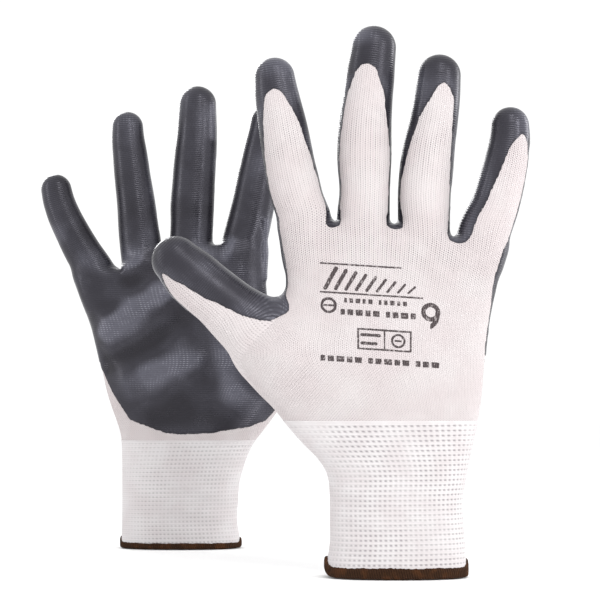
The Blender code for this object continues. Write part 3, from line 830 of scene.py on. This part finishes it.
def mark_field(u, w):
    """A plain size mark of bars, dashes, a small frame and the size 9, positive on the ink."""
    # Bars: start, end, half thickness. Two lines, nine slanted bars, and those of the small marks.
    bars = [
        ((-26.0, 9.0), (17.0, 9.0), 0.35), ((-26.0, 21.5), (8.0, 21.5), 0.35),
        ((-25.2, 3.4), (-20.0, 3.4), 0.4), ((1.0, -14.6), (1.0, -5.8), 0.3),
        ((-8.6, -8.4), (-1.2, -8.4), 0.65), ((-8.6, -12.0), (-2.6, -12.0), 0.65),
        ((5.6, -10.2), (8.0, -10.2), 0.4),
    ]
    for i in range(9):
        x = -24.0 + 4.4 * i
        bars.append(((x, 10.8), (x + 4.6 - 0.22 * i, 19.6 - 0.75 * i), 0.85 - 0.05 * i))
    # Rings: x, height, radius, half thickness. The last is the bowl of the 9.
    rings = [(-22.6, 3.4, 2.9, 0.55), (6.8, -10.2, 2.6, 0.45), (20.6, 3.2, 3.1, 0.95)]
    # Rows of dashes: height, first and last x, length of a dash, half its height.
    dash_rows = [
        (6.0, -16.0, 13.0, 1.5, 1.0), (0.9, -17.5, 13.5, 2.4, 1.25),
        (-19.5, -26.0, 22.0, 2.6, 1.2),
    ]
    shapes = [bar_shape(u, w, *bar) for bar in bars]
    shapes += [ring_shape(u, w, *ring) for ring in rings]
    for y, x, last, dash, half in dash_rows:
        i = 0
        while x < last:
            length = dash * (0.75 + 0.5 * ((i * 7) % 5) / 4)
            shapes.append(box_shape(u, w, x, y - half, x + length, y + half))
            x += length + 1.1 + (1.6 if i % 5 == 4 else 0)
            i += 1
    frame_edge = box_shape(u, w, -10.5, -14.8, 12.5, -5.6)
    shapes.append(np.minimum(frame_edge, 0.75 - frame_edge))
    tail = np.where((u > 20.4) & (w < 3.4), ring_shape(u, w, 17.0, 2.4, 6.5, 0.95), -1.0)
    shapes.append(np.minimum(tail, w + 5.6))
    return np.max(shapes, axis=0)


def add_mark(glove):
    """The print as its own thin skin on the back of the hand."""
    wider, taller, slant = 1.06, 1.04, 0.07
    low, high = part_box(f"{glove.prefix}_print_mark")
    middle_x = (low.x + high.x) / 2 / MM - glove.origin_x
    middle_z = (low.z + high.z) / 2 / MM
    pitch = 0.24
    u_axis = np.arange(-27.5, 27.6, pitch)
    w_axis = np.arange(-22.0, 23.6, pitch)
    u, w = (v.ravel() for v in np.meshgrid(u_axis, w_axis, indexing="ij"))
    x = middle_x + wider * u * glove.toward_little
    z = middle_z + taller * w - slant * u
    back = glove.sections(z)[2]
    points = np.stack([x, -back, z], 1)
    for _ in range(5):
        here = glove.distance(points)
        slope = (glove.distance(points + [0, 0.2, 0]) - here) / 0.2
        points[:, 1] -= np.clip(here / np.minimum(slope, -0.3), -3, 3)
    i, j = np.meshgrid(np.arange(len(u_axis) - 1), np.arange(len(w_axis) - 1), indexing="ij")
    corner = (i * len(w_axis) + j).ravel()
    quads = np.stack([corner, corner + 1, corner + len(w_axis) + 1, corner + len(w_axis)], 1)
    patch = glove.patch(points, np.concatenate([quads[:, :3], quads[:, [0, 2, 3]]]))
    # The ink is a little ragged, and thin in the gaps between the columns of stitches.
    ink = mark_field(u, w) + 0.10 * value_noise(points, 0.9, 41)
    gap = np.clip(np.cos(2 * np.pi * patch["wale"]) - 0.75, 0, 1)
    prefix = glove.prefix
    skin = shell(clip(patch, np.minimum(ink, 0.9) - 0.35 * gap), 0.08, 0.05)
    replaced = [f"{prefix}_print_mark"]
    piece = add_part(f"{prefix}_size_mark", glove, skin, INK, replaced)
    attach(piece, f"{prefix}_hand")


class Signal:
    """A value in a material's node tree, with arithmetic that adds Math nodes."""

    def __init__(self, tree, socket):
        self.tree = tree
        self.socket = socket

    def math(self, operation, *others):
        node = self.tree.nodes.new("ShaderNodeMath")
        node.operation = operation
        for slot_in, value in zip(node.inputs, (self, *others)):
            if isinstance(value, Signal):
                self.tree.links.new(value.socket, slot_in)
            else:
                slot_in.default_value = value
        return Signal(self.tree, node.outputs[0])

    def __add__(self, other):
        return self.math("ADD", other)

    def __sub__(self, other):
        return self.math("SUBTRACT", other)

    def __mul__(self, other):
        return self.math("MULTIPLY", other)

    def invert(self):
        return (self * -1.0) + 1.0

    def wave(self):
        """Cosine of the value in turns, moved to 0 to 1."""
        return (self * (2 * np.pi)).math("COSINE") * 0.5 + 0.5

    def ramp(self, low, high):
        node = self.tree.nodes.new("ShaderNodeMapRange")
        node.interpolation_type = "SMOOTHSTEP"
        node.inputs["From Min"].default_value = low
        node.inputs["From Max"].default_value = high
        self.tree.links.new(self.socket, node.inputs["Value"])
        return Signal(self.tree, node.outputs["Result"])


class Finish:
    """A Principled material that is built up in code."""

    def __init__(self, name, roughness, specular=0.5):
        self.material = bpy.data.materials.new(name)
        self.material.use_nodes = True
        self.tree = self.material.node_tree
        self.settings = self.tree.nodes["Principled BSDF"].inputs
        self.settings["Roughness"].default_value = roughness
        self.settings["Specular IOR Level"].default_value = specular

    def attribute(self, name):
        node = self.tree.nodes.new("ShaderNodeAttribute")
        node.attribute_name = name
        return Signal(self.tree, node.outputs["Fac"])

    def noise(self, size, detail=2.0):
        """Noise from about 0.3 to 0.7 with features of the size in millimetres."""
        place = self.tree.nodes.new("ShaderNodeTexCoord")
        node = self.tree.nodes.new("ShaderNodeTexNoise")
        node.inputs["Scale"].default_value = 1 / (size * MM)
        node.inputs["Detail"].default_value = detail
        self.tree.links.new(place.outputs["Object"], node.inputs["Vector"])
        return Signal(self.tree, node.outputs["Fac"])

    def blend(self, factor, low, high):
        """A colour between low and high, each a colour or the result of another blend."""
        node = self.tree.nodes.new("ShaderNodeMix")
        node.data_type = "RGBA"
        self.tree.links.new(factor.socket, node.inputs["Factor"])
        for value, name in ((low, "A"), (high, "B")):
            target = next(s for s in node.inputs if s.name == name and s.type == "RGBA")
            if isinstance(value, tuple):
                target.default_value = (*value, 1.0)
            else:
                self.tree.links.new(value, target)
        return next(s for s in node.outputs if s.type == "RGBA")

    def colour(self, socket):
        self.tree.links.new(socket, self.settings["Base Color"])

    def roughness(self, value):
        self.tree.links.new(value.socket, self.settings["Roughness"])

    def bump(self, height, depth, strength=1.0):
        node = self.tree.nodes.new("ShaderNodeBump")
        node.inputs["Distance"].default_value = depth * MM
        node.inputs["Strength"].default_value = strength
        self.tree.links.new(height.socket, node.inputs["Height"])
        self.tree.links.new(node.outputs["Normal"], self.settings["Normal"])

    def sheen(self, weight, tint, roughness=0.4):
        self.settings["Sheen Weight"].default_value = weight
        self.settings["Sheen Tint"].default_value = (*tint, 1.0)
        self.settings["Sheen Roughness"].default_value = roughness


def stitches(finish):
    """The plain knit: columns of V stitches, and the holes between them where it is stretched."""
    wale, course = finish.attribute("wale"), finish.attribute("course") * (1 / COURSE)
    gap = wale.wave()
    rib = gap.invert()
    slant = (wale.math("PINGPONG", 0.5) * 2.0).math("SUBTRACT", 0.5).math("ABSOLUTE")
    loops = (course + slant * 0.7).wave()
    stagger = wale.math("ROUND") * 0.5
    hole = gap.ramp(0.40, 0.85) * (course + stagger).wave().ramp(0.45, 0.85)
    opened = finish.attribute("open_knit")
    uneven = finish.noise(7.0, 1.0).ramp(0.30, 0.60) * 0.45 + 0.55
    every_other = (wale * 0.5).wave() * 0.45 + 0.55
    hole = hole * opened * uneven * every_other
    height = rib.math("POWER", 0.6) * 0.7 + loops * rib * 0.3 - hole * 0.9
    return gap, hole, height


def knit_finish():
    finish = Finish("liner_knit", 0.92, 0.15)
    gap, hole, height = stitches(finish)
    tone = finish.noise(16.0).ramp(0.3, 0.7)
    base = finish.blend(tone, (0.553, 0.500, 0.502), (0.576, 0.536, 0.536))
    # Painted shade: a little darker in the gaps between the columns, and dark in the stretched
    # holes.
    gap_shaded = finish.blend(gap.math("POWER", 3.0) * 0.05, base, (0.44, 0.39, 0.40))
    finish.colour(finish.blend(hole, gap_shaded, (0.05, 0.04, 0.05)))
    finish.bump(height, 0.30, 0.6)
    finish.sheen(0.12, (1.0, 0.96, 0.96))
    return finish.material


def dip_finish():
    finish = Finish("nitrile_dip", 0.3, 0.42)
    finish.settings["Specular Tint"].default_value = (0.90, 0.88, 1.0, 1.0)
    wale, course = finish.attribute("wale"), finish.attribute("course") * (1 / COURSE)
    painted_fold_light = finish.attribute("painted_fold_light")
    rows = course.wave()
    columns = (wale * 0.5).wave()
    cloud = finish.noise(14.0).ramp(0.38, 0.62)
    streaks = finish.noise(5.0).ramp(0.40, 0.62)
    grit = finish.noise(0.9, 1.0)
    thin = finish.attribute("mask").ramp(1.6, 0.0)
    # Painted light from the folds: lighter as a painted highlight where crest is high, darker as
    # painted shade where it is low.
    highlight_share = painted_fold_light.ramp(0.45, 0.95)
    base = finish.blend(cloud, (0.018, 0.017, 0.022), (0.032, 0.031, 0.039))
    painted_highlight = finish.blend(highlight_share * 0.85, base, (0.110, 0.110, 0.136))
    painted_fold_shade = finish.blend(painted_fold_light.ramp(0.45, 0.05), painted_highlight, (0.007, 0.006, 0.008))
    # Painted glints: light dots on the course ridges where crest is high.
    painted_glints = (rows * columns).ramp(0.35, 0.90) * streaks * highlight_share
    with_glints = finish.blend(painted_glints * 0.5, painted_fold_shade, (0.34, 0.34, 0.39))
    # Painted shade in the furrows between the course ridges.
    furrow_shade = rows.invert().ramp(0.45, 1.0) * (cloud * 0.35 + 0.25)
    with_furrow_shade = finish.blend(furrow_shade, with_glints, (0.005, 0.005, 0.007))
    finish.colour(finish.blend(thin * 0.6, with_furrow_shade, (0.008, 0.007, 0.009)))
    finish.roughness(cloud.invert() * 0.10 + grit * 0.10 + 0.20)
    finish.bump(rows * 0.6 + painted_glints * 0.3 + grit * 0.12, 0.13, 0.8)
    return finish.material


def rib_finish():
    finish = Finish("rib_knit", 0.92, 0.15)
    column, course = finish.attribute("wale"), finish.attribute("course")
    pit = finish.attribute("pit")
    yarn = ((column * 4.0).wave() * 0.5) + (course * (1 / 0.55)).wave() * 0.5
    patch = finish.noise(20.0, 1.0).ramp(0.38, 0.58)
    tone = finish.noise(12.0).ramp(0.3, 0.7)
    base = finish.blend(tone, (0.615, 0.577, 0.582), (0.655, 0.632, 0.636))
    # Painted shade: darker in the grooves between the yarns and between the rows, and dark in the
    # slots.
    between = (course * (2 / RIB_ROW)).wave().ramp(0.55, 1.0) * 0.22
    wear_and_groove_shade = finish.blend(yarn.invert() * 0.14 + between, base, (0.42, 0.39, 0.40))
    finish.colour(finish.blend(pit * (patch * 0.28 + 0.34), wear_and_groove_shade, (0.15, 0.14, 0.15)))
    finish.bump(yarn, 0.22, 0.6)
    finish.sheen(0.12, (1.0, 0.97, 0.97))
    return finish.material


def hem_finish():
    finish = Finish("overlock_yarn", 0.85, 0.2)
    turn, course = finish.attribute("wale"), finish.attribute("course")
    lay = (turn + course * STITCH_SLANT).wave()
    fibres = (turn * 5.0 + course * 1.6).wave()
    patch = finish.noise(5.0).ramp(0.45, 0.66)
    base = finish.blend(patch, (0.024, 0.009, 0.003), (0.052, 0.018, 0.005))
    finish.colour(finish.blend(lay.ramp(0.55, 1.0) * 0.22, base, (0.10, 0.038, 0.012)))
    finish.bump(lay * 0.6 + fibres * 0.25, 0.3, 0.7)
    finish.sheen(0.05, (0.6, 0.3, 0.2))
    return finish.material


def ink_finish():
    finish = Finish("size_ink", 0.8, 0.25)
    gap, _, height = stitches(finish)
    wear_and_groove_shade = finish.noise(1.1).ramp(0.56, 0.70)
    base = finish.blend(wear_and_groove_shade * 0.55, (0.050, 0.037, 0.039), (0.55, 0.50, 0.50))
    finish.colour(finish.blend(gap.ramp(0.75, 1.0) * 0.35, base, (0.36, 0.33, 0.33)))
    finish.bump(height, 0.4, 0.7)
    return finish.material


def elastic_finish():
    finish = Finish("elastic_core", 0.6, 0.3)
    twist = finish.noise(0.6)
    finish.colour(finish.blend(twist.ramp(0.3, 0.7), (0.62, 0.58, 0.55), (0.84, 0.80, 0.77)))
    finish.bump(twist, 0.1, 0.8)
    return finish.material


def floor_finish():
    finish = Finish("pale_floor", 0.9, 0.0)
    tone = finish.noise(400.0, 1.0).ramp(0.3, 0.7)
    finish.colour(finish.blend(tone, (0.95, 0.95, 0.95), (0.97, 0.97, 0.97)))
    return finish.material


def add_aimed(name, data, place, target):
    """A light or the camera at a place, turned to the target."""
    thing = bpy.data.objects.new(name, data)
    thing.location = place
    thing.rotation_mode = "QUATERNION"
    thing.rotation_quaternion = (Vector(target) - Vector(place)).to_track_quat("-Z", "Y")
    bpy.context.scene.collection.objects.link(thing)
    return thing


def area_light(name, place, size, power):
    light = bpy.data.lights.new(name, "AREA")
    light.shape = "RECTANGLE"
    light.size, light.size_y = size
    light.energy = power
    middle_of_pair = (0.0, 0.0, 0.14)
    add_aimed(name, light, place, middle_of_pair)


def add_stage():
    """A wide pale floor, an even white surround and soft lights at the sides."""
    radius, steps = 6.0, 96
    turn = 2 * np.pi * np.arange(steps) / steps
    rim = np.stack([radius * np.cos(turn), radius * np.sin(turn), np.full(steps, -0.0004)], 1)
    floor = add_mesh("floor", rim, np.arange(steps)[None], floor_finish(), {})
    world = bpy.data.worlds.new("surround")
    world.use_nodes = True
    surround = world.node_tree.nodes["Background"].inputs
    surround["Color"].default_value = (1.0, 1.0, 1.0, 1.0)
    surround["Strength"].default_value = 1.07
    bpy.context.scene.world = world
    area_light("key_above", (0.22, -0.86, 0.82), (0.30, 0.22), 2.6)
    area_light("key_right", (0.66, -0.80, 0.30), (0.12, 0.60), 3.4)
    area_light("edge_right", (0.95, 0.25, 0.35), (0.25, 0.6), 3.0)
    area_light("edge_left", (-0.95, -0.25, 0.40), (0.14, 0.6), 1.4)
    area_light("behind", (-0.35, 0.95, 0.60), (0.25, 0.55), 2.6)
    bpy.context.scene.view_settings.view_transform = "Standard"


def add_camera():
    """Level with the lower palms, pitched up a little to the middle of the pair."""
    low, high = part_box("front_hem_overlock")
    front_y = (low.y + high.y) / 2
    across, away, eye_height, aim_height = 0.0179, 0.958, 0.0804, 0.125
    optics = bpy.data.cameras.new("camera")
    optics.lens = 126.5
    optics.sensor_width = 36.0
    place = (across, front_y - away, eye_height)
    camera = add_aimed("camera", optics, place, (across, front_y, aim_height))
    bpy.context.scene.camera = camera


KNIT = knit_finish()
DIP = dip_finish()
RIB = rib_finish()
HEM = hem_finish()
INK = ink_finish()
ELASTIC = elastic_finish()

for spec in (FRONT, REAR):
    glove = Glove(spec)
    add_hand(glove)
    add_cuff(glove)
    add_hem(glove)
    add_mark(glove)
    yarn = frame["nodes"][f"{glove.prefix}_cuff_elastic"]
    for place in yarn.material_slots:
        place.material = ELASTIC
add_stage()
add_camera()
